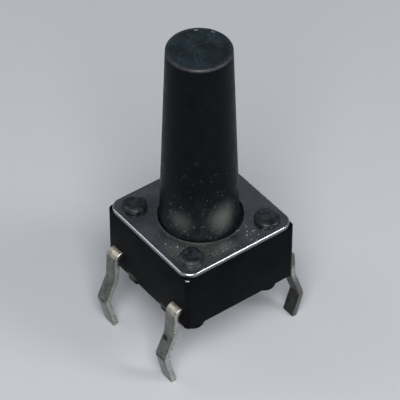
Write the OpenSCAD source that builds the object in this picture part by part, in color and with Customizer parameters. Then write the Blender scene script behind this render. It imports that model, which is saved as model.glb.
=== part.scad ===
// Tactile push button switch for a circuit board: a moulded base with two insert-moulded
// terminals, a snap dome, a long tapered button and a staked metal cover.
// Millimetres. The origin is the middle of the seat on the board, +Z is up along the button,
// and the leads leave the base on its -X and +X sides.

/* [Base] */
// Width of the square base, and of the cover on it
body_w = 6; // [5.6:0.1:8]
// Height of the base's walls above the board
body_h = 3.3; // [3.1:0.1:5]
// Radius of the base's upright corners
body_corner_r = 0.22; // [0.05:0.01:0.4]
// Height of the feet, which is the gap under the base
foot_h = 0.28; // [0.1:0.01:0.5]
// Radius of each foot
foot_r = 0.55; // [0.3:0.01:0.58]
// Distance along X from the middle to the two feet nearest a corner
outer_foot_x = 2.28; // [1.5:0.02:2.3]
// Distance along X from the middle to the other two feet
inner_foot_x = 1.75; // [1:0.05:2.3]
// Distance of a lead-side pad from the middle of its side
pad_y = 1.22; // [1:0.01:1.3]
// Width of a lead-side pad
pad_w = 0.6; // [0.4:0.05:0.9]

/* [Cover] */
// Thickness of the cover plate
cover_t = 0.2; // [0.15:0.01:0.4]
// Radius of the cover plate's corners
cover_corner_r = 0.6; // [0.2:0.05:0.8]
// Radius of the hole that guides the button
guide_r = 1.92; // [1.86:0.01:2]

/* [Staked posts] */
// Spacing of the four posts, along X and along Y
post_pitch = 4.22; // [4.1:0.01:4.5]
// Radius of a post where it passes through the cover
post_r = 0.38; // [0.25:0.01:0.42]
// Radius of a post's staked head
head_r = 0.585; // [0.5:0.005:0.62]
// Height of a staked head
head_h = 0.26; // [0.15:0.01:0.4]

/* [Button] */
// Height of the button's top above the board
button_top_z = 13.1; // [5:0.1:20]
// Radius of the button at its top
button_top_r = 1.47; // [1:0.01:1.7]
// Radial play of the button in the cover's hole
guide_play = 0.12; // [0.11:0.01:0.2]
// Radius of the rounded edge round the button's top
button_edge_r = 0.12; // [0.05:0.01:0.3]
// How far the flange that holds the button reaches under the cover
flange_lip = 0.2; // [0.15:0.01:0.25]
// Thickness of that flange
flange_t = 0.6; // [0.3:0.05:0.8]
// Radius of the hub under the flange
hub_r = 1.45; // [1:0.05:1.6]
// Radius of the nub that presses on the dome
nub_r = 0.55; // [0.3:0.05:0.8]
// Length of that nub below the hub
nub_h = 0.5; // [0.3:0.05:0.6]
// Width of the ears that stop the button turning
ear_w = 1.1; // [0.6:0.05:1.4]
// How far those ears stand out from the flange
ear_h = 0.38; // [0.1:0.01:0.4]
// How far the button travels before the contacts close
travel = 0.25; // [0.15:0.01:0.35]
// Where the loose button sits in its hole, along X
button_x = -0.08; // [-0.08:0.01:0.08]

/* [Dome] */
// Radius of the snap dome
dome_r = 2; // [1.9:0.01:2.05]
// Thickness of the snap dome
dome_t = 0.07; // [0.04:0.01:0.12]

/* [Terminals] */
// Distance between the two rows of leads, along Y
row_pitch = 4.5; // [4.4:0.05:4.7]
// Distance from the base's side to the middle of a lead's thickness where it turns down
lead_stand_off = 0.25; // [0.2:0.01:0.5]
// Width of a lead
lead_w = 0.7; // [0.5:0.05:0.8]
// Thickness of the terminals' sheet
lead_t = 0.28; // [0.2:0.01:0.35]
// Height of the terminals' top face inside the base
strip_z = 1.28; // [1.1:0.01:1.6]
// Depth of the lead tips under the board's top face
lead_drop = 3.05; // [2.5:0.05:4]
// Radius of the bend where a lead turns down, at mid thickness
lead_bend_r = 0.3; // [0.2:0.01:0.35]
// How far the knee of a lead stands out beyond its turn down
knee_out = 0.6; // [0.3:0.05:0.9]
// Depth of the knee of the leads on the -X side
knee_drop_left = 1.42; // [1:0.01:1.9]
// Depth of the knee of the leads on the +X side
knee_drop_right = 1.8; // [1:0.01:1.9]
// Height of the contact points above the terminals' top face
contact_h = 0.17; // [0.1:0.01:0.3]
// Radius of the contact point under the middle of the dome
centre_contact_r = 0.45; // [0.3:0.05:0.6]
// Radius of each contact point under the dome's rim
rim_contact_r = 0.27; // [0.2:0.01:0.3]

/* [Hidden] */

$fn = 64;
arc_steps = 6;       // segments in each bend of a lead and in the button's rounded edge
dome_steps = 14;     // rings in the dome's profile
head_steps = 8;      // segments in a staked head's rounded edge
post_play = 0.03;    // radial play of a post in the cover
slide_gap = 0.1;     // radial play of the button's flange and ears in the base
stop_gap = 0.02;     // gap between the flange and the cover when the button is up
nub_gap = 0.01;      // gap between the nub and the dome when the button is up
pocket_gap = 0.05;   // radial play of the dome in its pocket
pocket_depth = 0.45; // depth of the dome's pocket in the floor of the cavity
floor_skin = 0.12;   // plastic over the terminals in the floor of the pocket
land_h = 0.35;       // height of the button's straight land above the cover
foot_inset = 0.04;   // distance of a foot or a pad from the side that it stands at
pad_d = 0.4;         // depth of a lead-side pad, into the base
kink_drop = 0.3;     // depth where a lead starts to slope out
kink_out = 0.1;      // how far the lead has splayed there
kink_bend_r = 0.7;   // bend radius there, at mid thickness
knee_bend_r = 0.28;  // bend radius of the knee, at mid thickness
tip_out = 0.12;      // how far a tip stands out beyond the turn down
rim_inset = 0.2;     // distance of a rim contact's middle inside the dome's rim
rim_angle = 26;      // angle of the rim contacts from the X axis
arm_w = 0.5;         // width of the arms that carry the rim contacts
tongue_w = 0.8;      // width of the tongue that carries the centre contact

contact_z = strip_z + contact_h;
pocket_floor_z = strip_z + floor_skin;
cavity_floor_z = pocket_floor_z + pocket_depth;
dome_top_z = contact_z + travel + dome_t;
cover_top_z = body_h + cover_t;
flange_top_z = body_h - stop_gap;
flange_bottom_z = flange_top_z - flange_t;
nub_bottom_z = dome_top_z + nub_gap;
hub_bottom_z = nub_bottom_z + nub_h;
land_top_z = cover_top_z + land_h;
strip_mid_z = strip_z - lead_t / 2;
button_land_r = guide_r - guide_play;
flange_r = guide_r + flange_lip;
ear_reach = flange_r + ear_h;
rim_contact_x = (dome_r - rim_inset) * cos(rim_angle);
rim_contact_y = (dome_r - rim_inset) * sin(rim_angle);
lead_span = body_w + 2 * lead_stand_off;

// A square of width w with true round corners of radius r
module rounded_square(w, r) {
  square([w, w - 2 * r], center = true);
  square([w - 2 * r, w], center = true);
  at_corners(w - 2 * r) circle(r);
}

// Its children at the four corners of a square of side pitch
module at_corners(pitch) {
  for (sx = [-1, 1], sy = [-1, 1]) translate([sx * pitch / 2, sy * pitch / 2]) children();
}

// A cross of two bars of width w, cut to a circle of radius reach
module ear_cross(reach, w) {
  intersection() {
    circle(reach);
    union() {
      square([2 * reach, w], center = true);
      square([w, 2 * reach], center = true);
    }
  }
}

// Points of the bend of radius r at corner b, on the way from a to c
function bend(a, b, c, r) =
  let (
    u = (a - b) / norm(a - b),
    v = (c - b) / norm(c - b),
    half = acos(u * v) / 2,
    middle = b + (u + v) / norm(u + v) * r / sin(half),
    from = b + u * r / tan(half) - middle,
    to = b + v * r / tan(half) - middle,
    turn = sign(from[0] * to[1] - from[1] * to[0]) * (180 - 2 * half)
  )
  [for (i = [0:arc_steps]) let (t = turn * i / arc_steps)
    middle + [from[0] * cos(t) - from[1] * sin(t), from[0] * sin(t) + from[1] * cos(t)]];

// A path through [x, z] corners, with the bend radii given for its inner corners
function bent_path(corners, radii) = [
  corners[0],
  for (i = [1:len(corners) - 2])
    each bend(corners[i - 1], corners[i], corners[i + 1], radii[i - 1]),
  corners[len(corners) - 1]
];

// Unit normal of the path at point i
function path_normal(path, i) =
  let (
    before = path[max(i - 1, 0)],
    after = path[min(i + 1, len(path) - 1)],
    along = (after - before) / norm(after - before)
  )
  [-along[1], along[0]];

// Outline of a strip of thickness t that follows the path at mid thickness
function ribbon(path, t) = [
  for (i = [0:len(path) - 1]) path[i] + path_normal(path, i) * t / 2,
  for (i = [len(path) - 1:-1:0]) path[i] - path_normal(path, i) * t / 2
];

// Corners of one lead, from inside the base to past its tip, as [distance out, height]
function lead_corners(knee_drop) = [
  [lead_span / 2, strip_mid_z],
  [lead_span / 2 + kink_out, -kink_drop],
  [lead_span / 2 + knee_out, -knee_drop],
  [lead_span / 2 + tip_out, -lead_drop - lead_t]
];

lead_radii = [lead_bend_r, kink_bend_r, knee_bend_r];

// One row: a strip across the base that turns down into a lead at each end
module terminal_row(y) {
  left = [for (c = lead_corners(knee_drop_left)) [-c[0], c[1]]];
  right = lead_corners(knee_drop_right);
  corners = concat([for (i = [3:-1:0]) left[i]], right);
  radii = concat([for (i = [2:-1:0]) lead_radii[i]], lead_radii);
  reach = lead_span + 2 * knee_out + 2 * lead_t;
  intersection() {
    translate([0, y + lead_w / 2, 0]) rotate([90, 0, 0])
      linear_extrude(lead_w) polygon(ribbon(bent_path(corners, radii), lead_t));
    translate([-reach / 2, y - lead_w, -lead_drop]) cube([reach, 2 * lead_w, lead_drop + body_h]);
  }
}

// A flat bar of the terminals' sheet between two corners in plan
module sheet_bar(low, high) {
  translate([low[0], low[1], strip_z - lead_t]) cube([high[0] - low[0], high[1] - low[1], lead_t]);
}

// A contact point raised from the sheet, with a sloping side
module contact_point(r) {
  translate([0, 0, strip_z]) cylinder(h = contact_h, r1 = r * 1.15, r2 = r);
}

module centre_terminal() {
  color("gainsboro") {
    terminal_row(row_pitch / 2);
    sheet_bar([-tongue_w / 2, -tongue_w / 2], [tongue_w / 2, row_pitch / 2]);
    contact_point(centre_contact_r);
  }
}

module common_terminal() {
  color("silver") {
    terminal_row(-row_pitch / 2);
    for (side = [-1, 1]) {
      sheet_bar([side * rim_contact_x - arm_w / 2, -row_pitch / 2],
                [side * rim_contact_x + arm_w / 2, rim_contact_y + arm_w / 2]);
      for (y = [-rim_contact_y, rim_contact_y])
        translate([side * rim_contact_x, y, 0]) contact_point(rim_contact_r);
    }
  }
}

// A post's staked head: flat underneath, with a rounded top edge
module staked_head() {
  soft = head_h * 0.8;
  rotate_extrude() polygon(concat(
    [[0, 0], [head_r, 0]],
    [for (i = [0:head_steps]) let (a = 90 * i / head_steps)
      [head_r - soft + soft * cos(a), head_h - soft + soft * sin(a)]],
    [[0, head_h]]
  ));
}

module base() {
  side = body_w / 2;
  color("#17181a") difference() {
    union() {
      translate([0, 0, foot_h]) linear_extrude(body_h - foot_h) rounded_square(body_w, body_corner_r);
      at_corners(post_pitch) {
        translate([0, 0, body_h]) cylinder(h = cover_t, r = post_r);
        translate([0, 0, cover_top_z]) staked_head();
      }
      for (half_turn = [0, 180]) rotate(half_turn) {
        for (x = [-outer_foot_x, inner_foot_x])
          translate([x, foot_inset + foot_r - side, 0]) cylinder(h = foot_h, r = foot_r);
        for (y = [-pad_y, pad_y])
          translate([side - foot_inset - pad_d / 2, y, foot_h / 2])
            cube([pad_d, pad_w, foot_h], center = true);
      }
    }
    // cavity for the flange and its ears
    translate([0, 0, cavity_floor_z]) {
      cylinder(h = body_h, r = flange_r + slide_gap);
      linear_extrude(body_h) ear_cross(ear_reach + slide_gap, ear_w + 2 * slide_gap);
    }
    // pocket for the dome
    translate([0, 0, pocket_floor_z]) cylinder(h = body_h, r = dome_r + pocket_gap);
    centre_terminal();
    common_terminal();
  }
}

module cover_plate() {
  color("#8d9196") translate([0, 0, body_h]) linear_extrude(cover_t) difference() {
    rounded_square(body_w, cover_corner_r);
    circle(guide_r);
    at_corners(post_pitch) circle(post_r + post_play);
  }
}

module button() {
  color("#101216") translate([button_x, 0, 0]) {
    rotate_extrude() polygon(concat(
      [
        [0, nub_bottom_z], [nub_r, nub_bottom_z], [nub_r, hub_bottom_z], [hub_r, hub_bottom_z],
        [hub_r, flange_bottom_z], [flange_r, flange_bottom_z], [flange_r, flange_top_z],
        [button_land_r, flange_top_z], [button_land_r, land_top_z]
      ],
      [for (i = [0:arc_steps]) let (a = 90 * i / arc_steps)
        [button_top_r - button_edge_r + button_edge_r * cos(a),
         button_top_z - button_edge_r + button_edge_r * sin(a)]],
      [[0, button_top_z]]
    ));
    translate([0, 0, flange_bottom_z]) linear_extrude(flange_t) ear_cross(ear_reach, ear_w);
  }
}

// Height of the dome's underside above the contacts, at distance r from its axis
function dome_rise(r) =
  let (ball_r = (pow(dome_r, 2) + pow(travel, 2)) / (2 * travel))
  sqrt(pow(ball_r, 2) - pow(r, 2)) - (ball_r - travel);

module snap_dome() {
  rings = [for (i = [0:dome_steps]) dome_r * i / dome_steps];
  color("#c9ccd0") translate([0, 0, contact_z]) rotate_extrude() polygon(concat(
    [for (r = rings) [r, dome_rise(r)]],
    [for (i = [dome_steps:-1:0]) [rings[i], dome_rise(rings[i]) + dome_t]]
  ));
}

base();
cover_plate();
button();
snap_dome();
centre_terminal();
common_terminal();
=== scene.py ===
"""Tactile push button switch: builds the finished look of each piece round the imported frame."""

import math

import bmesh
import bpy
from bpy.props import FloatProperty, IntProperty, PointerProperty, StringProperty
from mathutils import Matrix, Vector


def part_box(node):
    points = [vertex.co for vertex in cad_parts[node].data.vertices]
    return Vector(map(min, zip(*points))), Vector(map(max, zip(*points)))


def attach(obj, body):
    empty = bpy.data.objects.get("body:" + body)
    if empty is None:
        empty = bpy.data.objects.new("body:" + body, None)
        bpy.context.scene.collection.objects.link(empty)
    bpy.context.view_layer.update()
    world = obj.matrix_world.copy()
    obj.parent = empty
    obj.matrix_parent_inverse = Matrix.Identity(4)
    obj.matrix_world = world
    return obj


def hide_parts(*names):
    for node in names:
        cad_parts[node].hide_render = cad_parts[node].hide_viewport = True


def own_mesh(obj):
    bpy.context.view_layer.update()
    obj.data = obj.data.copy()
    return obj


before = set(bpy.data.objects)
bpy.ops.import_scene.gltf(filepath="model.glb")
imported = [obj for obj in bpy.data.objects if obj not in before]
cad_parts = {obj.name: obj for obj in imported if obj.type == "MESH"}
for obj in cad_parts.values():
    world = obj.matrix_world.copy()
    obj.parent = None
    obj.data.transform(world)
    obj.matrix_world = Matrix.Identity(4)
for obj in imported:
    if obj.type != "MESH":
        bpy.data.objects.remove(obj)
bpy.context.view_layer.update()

bl_info = {
    "name": "Tactile Push Button Switch",
    "version": (1, 0, 0),
    "blender": (4, 5, 0),
    "location": "View3D > Sidebar > Switch",
    "description": "Builds a small tactile switch with a long button, its materials and a studio round it",
    "category": "Add Mesh",
}

MM = 0.001  # the meshes are shaped in millimetres and turned to metres when they are finished


def node_box(name):
    """Lowest and highest corners of a CAD node, in millimetres."""
    low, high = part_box(name)
    return low / MM, high / MM


BASE_HIGH = node_box("base")[1]
COVER_LOW, COVER_HIGH = node_box("cover_plate")
BUTTON_LOW, BUTTON_HIGH = node_box("button")
DOME_LOW, DOME_HIGH = node_box("snap_dome")
CENTRE_LOW, CENTRE_HIGH = node_box("centre_terminal")
BUTTON_X = (BUTTON_LOW.x + BUTTON_HIGH.x) / 2
TIP_Z = CENTRE_LOW.z
CONTACT_Z = CENTRE_HIGH.z
LEAD_WIDTH = 0.7
ROW_Y = CENTRE_HIGH.y - LEAD_WIDTH / 2


# ---------------------------------------------------------------------------
# Sizes and colours that a user would change
# ---------------------------------------------------------------------------


def length(name, description, default, low=0.0, high=50.0):
    """A size in millimetres."""
    return FloatProperty(name=name, description=description, default=default, min=low, max=high, precision=3)


def hex_colour(name, description, default):
    """An sRGB colour as six hex digits."""
    return StringProperty(name=name, description=description, default=default, maxlen=7)


class SwitchBase(bpy.types.PropertyGroup):
    """The moulded base"""

    corner: length("Corner radius", "Radius of the upright corners, in mm", 0.22)
    soft: length("Edge radius", "Radius of the moulded edges, in mm", 0.045)
    wall_foot: length("Underside height", "Height of the underside over the board, in mm", 0.28)
    foot: length("Foot radius", "Radius of a foot, in mm", 0.55)
    outer_foot_x: length("Outer foot", "Distance of a foot near a corner from the middle, in mm", 2.28)
    inner_foot_x: length("Inner foot", "Distance of the other feet from the middle, in mm", 1.75)
    colour: hex_colour("Colour", "Colour of the moulding", "#090a0c")


class SwitchHeads(bpy.types.PropertyGroup):
    """The four staked heads"""

    pitch: length("Spacing", "Distance between the posts, in mm", 4.22)
    radius: length("Radius", "Radius of a head, in mm", 0.585)
    uneven: length("Unevenness", "How far the melted plastic wanders, in mm", 0.05)
    seed: IntProperty(name="Seed", description="Seed of the unevenness", default=7, min=0)


class SwitchCover(bpy.types.PropertyGroup):
    """The sheet metal cover"""

    corner: length("Corner radius", "Radius of the plate's corners, in mm", 0.6)
    hole: length("Hole radius", "Radius of the hole for the button, in mm", 1.92)
    rollover: length("Roll-over", "Radius of the sheared top edge, in mm", 0.07)
    wave: length("Waviness", "How far the sheet is from flat, in mm", 0.006)
    colour: hex_colour("Colour", "Colour of the metal", "#8e9296")
    edge_colour: hex_colour("Edge colour", "Colour of the sheared edge", "#c4c8cb")


class SwitchButton(bpy.types.PropertyGroup):
    """The moulded button"""

    top: length("Top radius", "Radius at the top, in mm", 1.47)
    land: length("Land radius", "Radius in the cover's hole, in mm", 1.8)
    soft: length("Edge radius", "Radius of the top edge, in mm", 0.12)
    rim: length("Rim height", "Height of the low rim round the top face, in mm", 0.02)
    colour: hex_colour("Colour", "Colour of the moulding", "#090a0d")


class SwitchLeads(bpy.types.PropertyGroup):
    """The stamped terminals"""

    width: length("Width", "Width of a lead, in mm", LEAD_WIDTH)
    thickness: length("Thickness", "Thickness of the strip, in mm", 0.28)
    soft: length("Edge radius", "Radius of the stamped edges, in mm", 0.045)
    colour: hex_colour("Colour", "Colour of the tin plate", "#7d7f7a")
    edge_colour: hex_colour("Edge colour", "Colour of the cut edges", "#d2d0c9")


class SwitchStage(bpy.types.PropertyGroup):
    """The studio"""

    floor_colour: hex_colour("Floor", "Colour of the floor", "#b9bcc0")
    key: FloatProperty(name="Key light", description="Strength of the key light", default=0.29, unit="POWER")
    rim: FloatProperty(name="Rim lights", description="Strength of an edge light", default=0.08, unit="POWER")


# ---------------------------------------------------------------------------
# Helpers
# ---------------------------------------------------------------------------


def linear(code, alpha=1.0):
    """Linear RGBA of an sRGB hex colour."""
    parts = [int(code.lstrip("#")[i : i + 2], 16) / 255 for i in (0, 2, 4)]
    return [c / 12.92 if c <= 0.04045 else ((c + 0.055) / 1.055) ** 2.4 for c in parts] + [alpha]


def fill(tree, node, inputs):
    """Gives a node's sockets their values, or the sockets that feed them. A hex code is a colour."""
    for name, value in dict(inputs).items():
        if isinstance(value, bpy.types.NodeSocket):
            tree.links.new(value, node.inputs[name])
        elif isinstance(value, str) and value.startswith("#"):
            node.inputs[name].default_value = linear(value)
        else:
            node.inputs[name].default_value = value


def add(tree, kind, settings=(), inputs=(), stops=()):
    """Adds a node with its properties, its inputs and, on a colour ramp, its stops as (place, grey)."""
    node = tree.nodes.new(kind)
    for name, value in dict(settings).items():
        setattr(node, name, value)
    if stops:
        elements = node.color_ramp.elements
        while len(elements) < len(stops):
            elements.new(0.5)
        for element, (position, grey) in zip(elements, stops):
            element.position = position
            element.color = (grey, grey, grey, 1)
    fill(tree, node, inputs)
    return node


def per_mm(size):
    """Scale of a texture on Object coordinates whose features are this many millimetres across."""
    return 1 / (size * MM)


def finish_mesh(name, bm, materials, body, node, smooth=35):
    """Turns a closed shape in millimetres into a finished piece that stands for a CAD node on a body."""
    bmesh.ops.remove_doubles(bm, verts=bm.verts, dist=1e-5)
    bmesh.ops.recalc_face_normals(bm, faces=bm.faces)
    mesh = bpy.data.meshes.new(name)
    bm.to_mesh(mesh)
    bm.free()
    return finish_object(name, mesh, materials, body, node, smooth)


def finish_object(name, mesh, materials, body, node, smooth=35):
    """Places a finished mesh, which is in millimetres, in the scene."""
    mesh.transform(Matrix.Scale(MM, 4))
    mesh.name = name
    for material in materials:
        if material.name not in mesh.materials:
            mesh.materials.append(material)
    piece = bpy.data.objects.new(name, mesh)
    bpy.context.scene.collection.objects.link(piece)
    mesh.set_sharp_from_angle(angle=math.radians(smooth))
    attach(piece, body)
    if node:
        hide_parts(node)
    return piece


def evaluated_copy(source, name):
    """The plain mesh that an object's modifiers give; the object itself is removed."""
    bpy.context.view_layer.update()
    depsgraph = bpy.context.evaluated_depsgraph_get()
    mesh = bpy.data.meshes.new_from_object(source.evaluated_get(depsgraph), depsgraph=depsgraph)
    mesh.name = name
    old = source.data
    bpy.data.objects.remove(source)
    bpy.data.meshes.remove(old)
    return mesh


def temporary(name, bm):
    """A bmesh as a linked object, for modifiers to work on."""
    mesh = bpy.data.meshes.new(name)
    bm.to_mesh(mesh)
    bm.free()
    made = bpy.data.objects.new(name, mesh)
    bpy.context.scene.collection.objects.link(made)
    return made


def prism(bm, outline, low, high):
    """Adds an upright prism over an outline of (x, y) points."""
    rings = [[bm.verts.new((x, y, z)) for x, y in outline] for z in (low, high)]
    count = len(outline)
    bm.faces.new(reversed(rings[0]))
    bm.faces.new(rings[1])
    for i in range(count):
        j = (i + 1) % count
        bm.faces.new((rings[0][i], rings[0][j], rings[1][j], rings[1][i]))


def box_outline(low_x, low_y, high_x, high_y):
    """Corners of a rectangle."""
    return [(low_x, low_y), (high_x, low_y), (high_x, high_y), (low_x, high_y)]


def round_outline(radius, steps=48, x=0.0, y=0.0):
    """Points of a circle."""
    turns = [2 * math.pi * i / steps for i in range(steps)]
    return [(x + radius * math.cos(t), y + radius * math.sin(t)) for t in turns]


def square_outline(width, radius, steps=8):
    """Points of a square with round corners, about the origin."""
    inner = width / 2 - radius
    points = []
    for k, (sx, sy) in enumerate(((1, 1), (-1, 1), (-1, -1), (1, -1))):
        for i in range(steps + 1):
            turn = math.radians(90 * (k + i / steps))
            points.append((sx * inner + radius * math.cos(turn), sy * inner + radius * math.sin(turn)))
    return points


def lathe(bm, profile, steps, x=0.0, y=0.0, material=lambda i: 0):
    """Adds a turned shape about an upright axis, from (radius, height) points. A radius of 0 is a pole."""
    rings = []
    for radius, height in profile:
        if radius == 0:
            rings.append([bm.verts.new((x, y, height))])
        else:
            rings.append([bm.verts.new((x + a, y + b, height)) for a, b in round_outline(radius, steps)])
    for i, (low, high) in enumerate(zip(rings, rings[1:])):
        for k in range(steps):
            n = (k + 1) % steps
            corners = (
                [low[0], high[n], high[k]] if len(low) == 1
                else [low[k], low[n], high[0]] if len(high) == 1
                else [low[k], low[n], high[n], high[k]]
            )
            bm.faces.new(corners).material_index = material(i)


def arc(middle, radius, start, stop, steps):
    """Points of an arc, as (radius, height), between two angles in degrees."""
    turns = [math.radians(start + (stop - start) * i / steps) for i in range(steps + 1)]
    return [(middle[0] + radius * math.cos(t), middle[1] + radius * math.sin(t)) for t in turns]


# ---------------------------------------------------------------------------
# Materials
# ---------------------------------------------------------------------------

PRODUCT = {"operation": "MULTIPLY", "use_clamp": True}
SUM = {"operation": "ADD", "use_clamp": True}
LIGHTEST = {"operation": "MAXIMUM", "use_clamp": True}
COLOURS = {"data_type": "RGBA"}


def new_material(name, colour, metallic, roughness, specular=0.5):
    """A material with its even values on the shader's own sockets; returns it, its tree and its shader."""
    material = bpy.data.materials.new(name)
    material.use_nodes = True
    material.diffuse_color = linear(colour)
    tree = material.node_tree
    shader = tree.nodes["Principled BSDF"]
    fill(tree, shader, {"Base Color": colour, "Metallic": metallic})
    fill(tree, shader, {"Roughness": roughness, "Specular IOR Level": specular})
    return material, tree, shader


def place(tree, scale=(1, 1, 1), turn=(0, 0, 0), shift=(0, 0, 0)):
    """Object coordinates, turned and stretched."""
    source = add(tree, "ShaderNodeTexCoord").outputs["Object"]
    placing = {"Vector": source, "Location": shift, "Rotation": turn, "Scale": scale}
    return add(tree, "ShaderNodeMapping", inputs=placing).outputs["Vector"]


def clouds(tree, size, detail=3.0, roughness=0.5, **placing):
    """Soft unevenness with features of this size in millimetres. Returns its grey."""
    return add(
        tree, "ShaderNodeTexNoise", {"noise_dimensions": "3D"},
        {"Vector": place(tree, **placing), "Scale": per_mm(size), "Detail": detail, "Roughness": roughness},
    ).outputs["Fac"]


def specks(tree, size, share_shown, **placing):
    """Scattered round specks: one cell in so many holds a speck. Returns a mask."""
    cells = add(
        tree, "ShaderNodeTexVoronoi",
        inputs={"Vector": place(tree, **placing), "Scale": per_mm(size), "Randomness": 1.0},
    )
    chance = add(tree, "ShaderNodeSeparateColor", inputs={"Color": cells.outputs["Color"]}).outputs["Red"]
    chosen = add(tree, "ShaderNodeMath", {"operation": "LESS_THAN"}, {0: chance, 1: share_shown}).outputs[0]
    away = cells.outputs["Distance"]
    near = add(tree, "ShaderNodeValToRGB", inputs={"Fac": away}, stops=[(0.1, 1), (0.24, 0)]).outputs["Color"]
    return add(tree, "ShaderNodeMath", PRODUCT, {0: chosen, 1: near}).outputs[0]


def hairs(tree, shift, size, share_shown):
    """Thin broken curved lines, like fine scratches or fibres. Returns a mask."""
    winding = {"Fac": clouds(tree, size, 1.0, shift=shift)}
    line = add(tree, "ShaderNodeValToRGB", (), winding, [(0.478, 0), (0.49, 1), (0.502, 0)]).outputs["Color"]
    breaks = {"Fac": clouds(tree, size * 0.55, 1.0, shift=[3 * c for c in shift])}
    stops = [(0.62 - share_shown / 2, 0), (0.66 - share_shown / 2, 1)]
    shown = add(tree, "ShaderNodeValToRGB", (), breaks, stops).outputs["Color"]
    return add(tree, "ShaderNodeMath", PRODUCT, {0: line, 1: shown}).outputs[0]


def spot(tree, centre, reach, soft=0.35, ragged=1.0):
    """A spot about a point, reaching so far along X, Y and Z, in millimetres. Returns a mask."""
    centre, reach = ([c * MM for c in corner] for corner in (centre, reach))
    here = place(tree)
    away = add(tree, "ShaderNodeVectorMath", {"operation": "SUBTRACT"}, {0: here, 1: centre}).outputs[0]
    shares = add(tree, "ShaderNodeVectorMath", {"operation": "DIVIDE"}, {0: away, 1: reach}).outputs[0]
    far = add(tree, "ShaderNodeVectorMath", {"operation": "LENGTH"}, {0: shares}).outputs["Value"]
    ragging = {"Value": clouds(tree, 0.12), "To Min": -ragged / 2, "To Max": ragged / 2}
    wander = add(tree, "ShaderNodeMapRange", inputs=ragging).outputs[0]
    edge = add(tree, "ShaderNodeMath", {"operation": "ADD"}, {0: far, 1: wander}).outputs[0]
    return add(
        tree, "ShaderNodeMapRange", {"interpolation_type": "SMOOTHSTEP"},
        {"Value": edge, "From Min": 1.0, "From Max": 1.0 - soft},
    ).outputs[0]


def lightest(tree, *masks):
    """The lightest of several masks."""
    found = masks[0]
    for mask in masks[1:]:
        found = add(tree, "ShaderNodeMath", LIGHTEST, {0: found, 1: mask}).outputs[0]
    return found


def two_tone(tree, pattern, start, stop, under, over):
    """A colour that gives way to another as a pattern's grey rises from start to stop."""
    share = add(tree, "ShaderNodeValToRGB", (), {"Fac": pattern}, [(start, 0), (stop, 1)]).outputs["Color"]
    return add(tree, "ShaderNodeMix", COLOURS, {0: share, 6: under, 7: over}).outputs[2]


def stained(tree, mask, share, under, over):
    """A colour with another laid over it where a mask is light, at this share of its strength."""
    strength = add(tree, "ShaderNodeMath", PRODUCT, {0: mask, 1: share}).outputs[0]
    return add(tree, "ShaderNodeMix", COLOURS, {0: strength, 6: under, 7: over}).outputs[2]


def relief(tree, *layers):
    """Bumps laid over one another, each a height, a depth in mm and a strength. Returns the normal."""
    inputs = {}
    for height, depth, strength in layers:
        inputs.update({"Height": height, "Distance": depth * MM, "Strength": strength})
        inputs["Normal"] = add(tree, "ShaderNodeBump", inputs=inputs).outputs["Normal"]
    return inputs["Normal"]


def surface(tree, shader, shade, shine, *layers):
    """Feeds a shader its colour, a roughness that follows a pattern between two values, and its bumps."""
    inputs = dict(zip(("Value", "To Min", "To Max"), shine))
    rough = add(tree, "ShaderNodeMapRange", inputs=inputs).outputs[0]
    fill(tree, shader, {"Base Color": shade, "Roughness": rough, "Normal": relief(tree, *layers)})


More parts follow.
